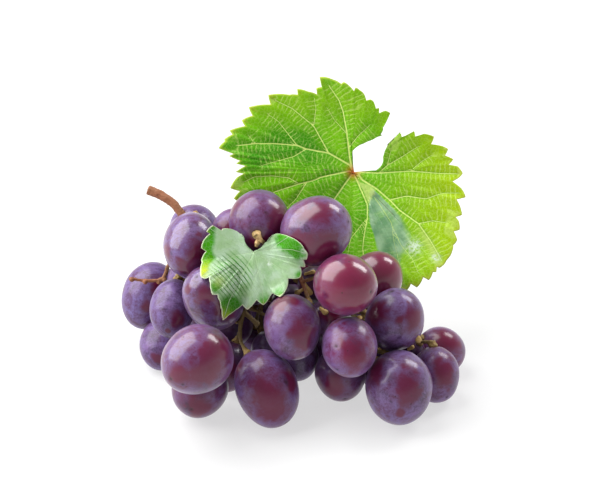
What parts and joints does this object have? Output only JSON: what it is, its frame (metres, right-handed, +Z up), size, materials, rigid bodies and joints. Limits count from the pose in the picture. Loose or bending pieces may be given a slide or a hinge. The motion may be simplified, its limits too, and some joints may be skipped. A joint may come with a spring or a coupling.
{
  "type": "bunch of grapes",
  "caption": "Bunch of red table grapes on its branching stem, lying on a surface, with a large vine leaf standing behind it and a small one draped over it.",
  "frame": {"origin": "under the middle of the bunch's footprint, on the surface that it lies on", "axes": "+X to the right along the bunch, +Y away from the viewer towards the large leaf, +Z up"},
  "size_m": [0.1444, 0.1272, 0.1045],
  "materials": {
    "grape_skin": "waxy bloom over a glossy skin",
    "stem": "matte",
    "leaf": "satin"
  },
  "bodies": {
    "root": {"grape_shoulder_front": "grape_skin", "grape_shoulder_back": "grape_skin", "grape_saddle": "grape_skin", "grape_crown_left": "grape_skin", "grape_crown_right": "grape_skin", "grape_far_left": "grape_skin", "grape_left_middle": "grape_skin", "grape_under_leaf": "grape_skin", "grape_left_low": "grape_skin", "grape_front_left": "grape_skin", "grape_foot_left": "grape_skin", "grape_behind_front": "grape_skin", "grape_foot_front": "grape_skin", "grape_centre": "grape_skin", "grape_centre_behind": "grape_skin", "grape_low_middle": "grape_skin", "grape_foot_middle": "grape_skin", "grape_right_of_centre": "grape_skin", "grape_red_upper": "grape_skin", "grape_red_behind": "grape_skin", "grape_right_upper": "grape_skin", "grape_foot_right": "grape_skin", "grape_right_low": "grape_skin", "grape_far_right": "grape_skin", "grape_leaf_shadow": "grape_skin", "grape_inner_right": "grape_skin", "grape_back_foot_left": "grape_skin", "grape_back_foot_middle": "grape_skin", "grape_back_foot_right": "grape_skin", "grape_back_right": "grape_skin", "grape_back_shoulder": "grape_skin", "grape_inner_left": "grape_skin", "grape_inner_crown": "grape_skin", "grape_back_middle": "grape_skin", "grape_back_upper": "grape_skin", "grape_inner_middle": "grape_skin", "grape_back_corner": "grape_skin", "grape_tucked_right": "grape_skin", "grape_tucked_middle": "grape_skin", "grape_tucked_front": "grape_skin", "grape_tucked_left": "grape_skin", "rachis": "stem", "large_leaf_petiole": "stem", "large_leaf": "leaf", "small_leaf": "leaf"}
  },
  "joints": []
}
